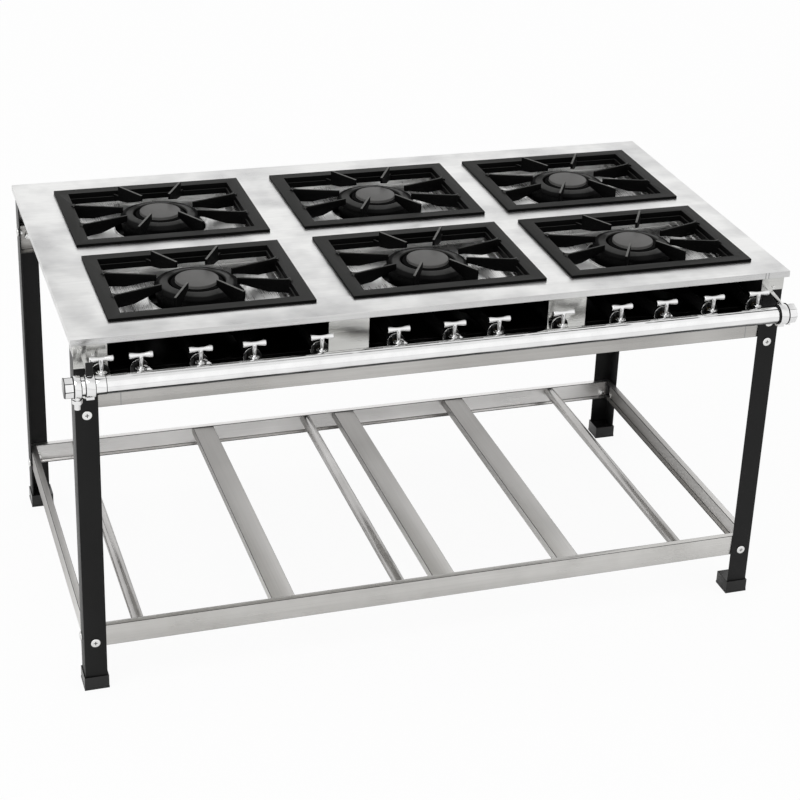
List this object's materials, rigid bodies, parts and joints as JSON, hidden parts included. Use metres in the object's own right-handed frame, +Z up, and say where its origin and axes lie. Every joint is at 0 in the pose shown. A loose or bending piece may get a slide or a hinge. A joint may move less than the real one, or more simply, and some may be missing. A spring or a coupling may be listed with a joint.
{
  "type": "six-burner gas stove",
  "caption": "Free-standing commercial gas stove with lift-off cast grates over double burners, a front gas pipe with T-handle valves, angle-iron legs and a slatted lower shelf.",
  "frame": {"origin": "on the floor, under the middle of the whole outline", "axes": "+X along the worktop's length to the right as seen from the valves, +Y to the back, +Z up"},
  "size_m": [1.534, 0.904, 0.821],
  "materials": {
    "worktop_steel": "brushed along the length",
    "frame_steel": "brushed",
    "tray_steel": "bright rolled",
    "firebox_dark": "dark enamel",
    "leg_black": "semi-gloss powder coat",
    "foot_plastic": "glossy",
    "grate_iron": "black paint over a fine cast grain",
    "burner_iron": "black paint over a cast grain",
    "burner_grey": "machined and oiled grey iron",
    "shutter_black": "gloss black",
    "chrome": "polished",
    "zinc": "bright zinc plate",
    "brass": "turned"
  },
  "bodies": {
    "stove": {"top_plate": "worktop_steel", "front_panel": "frame_steel", "rear_panel": "frame_steel", "side_walls": "firebox_dark", "front_rail": "frame_steel", "rear_rail": "frame_steel", "leg_front_left": "leg_black", "leg_front_right": "leg_black", "leg_rear_left": "leg_black", "leg_rear_right": "leg_black", "feet": "foot_plastic", "shelf_front_rail": "frame_steel", "shelf_rear_rail": "frame_steel", "shelf_side_rails": "frame_steel", "shelf_wide_slats": "frame_steel", "shelf_tube_slats": "frame_steel", "spill_pans_left": "tray_steel", "spill_pans_middle": "tray_steel", "spill_pans_right": "tray_steel", "drip_tray_left": "tray_steel", "drip_tray_middle": "tray_steel", "drip_tray_right": "tray_steel", "burner_bars": "firebox_dark", "burner_bodies": "burner_iron", "burner_crowns": "burner_grey", "burner_caps": "burner_grey", "mixing_tubes": "burner_iron", "air_shutters": "shutter_black", "manifold_pipe": "chrome", "pipe_cap": "chrome", "pipe_end_fitting": "chrome", "inlet_tee": "chrome", "pipe_clamps": "chrome", "pipe_tab": "shutter_black", "valve_bodies": "chrome", "injectors": "brass", "leg_bolts": "zinc", "plate_screws": "zinc"},
    "grate_body_1": {"grate_1": "grate_iron"},
    "grate_body_2": {"grate_2": "grate_iron"},
    "grate_body_3": {"grate_3": "grate_iron"},
    "grate_body_4": {"grate_4": "grate_iron"},
    "grate_body_5": {"grate_5": "grate_iron"},
    "grate_body_6": {"grate_6": "grate_iron"},
    "handle_1": {"valve_handle_1": "chrome"},
    "handle_2": {"valve_handle_2": "chrome"},
    "handle_3": {"valve_handle_3": "chrome"},
    "handle_4": {"valve_handle_4": "chrome"},
    "handle_5": {"valve_handle_5": "chrome"},
    "handle_6": {"valve_handle_6": "chrome"},
    "handle_7": {"valve_handle_7": "chrome"},
    "handle_8": {"valve_handle_8": "chrome"},
    "handle_9": {"valve_handle_9": "chrome"},
    "handle_10": {"valve_handle_10": "chrome"},
    "handle_11": {"valve_handle_11": "chrome"},
    "handle_12": {"valve_handle_12": "chrome"},
    "handle_13": {"valve_handle_13": "chrome"}
  },
  "joints": [
    {"name": "grate_lift_1", "type": "slide", "parent": "stove", "child": "grate_body_1", "axis": [0, 0, 1], "range_m": [0, 0.12]},
    {"name": "grate_lift_2", "type": "slide", "parent": "stove", "child": "grate_body_2", "axis": [0, 0, 1], "range_m": [0, 0.12]},
    {"name": "grate_lift_3", "type": "slide", "parent": "stove", "child": "grate_body_3", "axis": [0, 0, 1], "range_m": [0, 0.12]},
    {"name": "grate_lift_4", "type": "slide", "parent": "stove", "child": "grate_body_4", "axis": [0, 0, 1], "range_m": [0, 0.12]},
    {"name": "grate_lift_5", "type": "slide", "parent": "stove", "child": "grate_body_5", "axis": [0, 0, 1], "range_m": [0, 0.12]},
    {"name": "grate_lift_6", "type": "slide", "parent": "stove", "child": "grate_body_6", "axis": [0, 0, 1], "range_m": [0, 0.12]},
    {"name": "valve_turn_1", "type": "hinge", "parent": "stove", "child": "handle_1", "pos_m": [-0.69, -0.399, 0.734], "axis": [0, 0, 1], "range_deg": [0, 90]},
    {"name": "valve_turn_2", "type": "hinge", "parent": "stove", "child": "handle_2", "pos_m": [-0.615, -0.399, 0.734], "axis": [0, 0, 1], "range_deg": [0, 90]},
    {"name": "valve_turn_3", "type": "hinge", "parent": "stove", "child": "handle_3", "pos_m": [-0.5, -0.399, 0.734], "axis": [0, 0, 1], "range_deg": [0, 90]},
    {"name": "valve_turn_4", "type": "hinge", "parent": "stove", "child": "handle_4", "pos_m": [-0.395, -0.399, 0.734], "axis": [0, 0, 1], "range_deg": [0, 90]},
    {"name": "valve_turn_5", "type": "hinge", "parent": "stove", "child": "handle_5", "pos_m": [-0.26, -0.399, 0.734], "axis": [0, 0, 1], "range_deg": [0, 90]},
    {"name": "valve_turn_6", "type": "hinge", "parent": "stove", "child": "handle_6", "pos_m": [-0.103, -0.399, 0.734], "axis": [0, 0, 1], "range_deg": [0, 90]},
    {"name": "valve_turn_7", "type": "hinge", "parent": "stove", "child": "handle_7", "pos_m": [0.014, -0.399, 0.734], "axis": [0, 0, 1], "range_deg": [0, 90]},
    {"name": "valve_turn_8", "type": "hinge", "parent": "stove", "child": "handle_8", "pos_m": [0.109, -0.399, 0.734], "axis": [0, 0, 1], "range_deg": [0, 90]},
    {"name": "valve_turn_9", "type": "hinge", "parent": "stove", "child": "handle_9", "pos_m": [0.248, -0.399, 0.734], "axis": [0, 0, 1], "range_deg": [0, 90]},
    {"name": "valve_turn_10", "type": "hinge", "parent": "stove", "child": "handle_10", "pos_m": [0.377, -0.399, 0.734], "axis": [0, 0, 1], "range_deg": [0, 90]},
    {"name": "valve_turn_11", "type": "hinge", "parent": "stove", "child": "handle_11", "pos_m": [0.478, -0.399, 0.734], "axis": [0, 0, 1], "range_deg": [0, 90]},
    {"name": "valve_turn_12", "type": "hinge", "parent": "stove", "child": "handle_12", "pos_m": [0.586, -0.399, 0.734], "axis": [0, 0, 1], "range_deg": [0, 90]},
    {"name": "valve_turn_13", "type": "hinge", "parent": "stove", "child": "handle_13", "pos_m": [0.69, -0.399, 0.734], "axis": [0, 0, 1], "range_deg": [0, 90]}
  ]
}
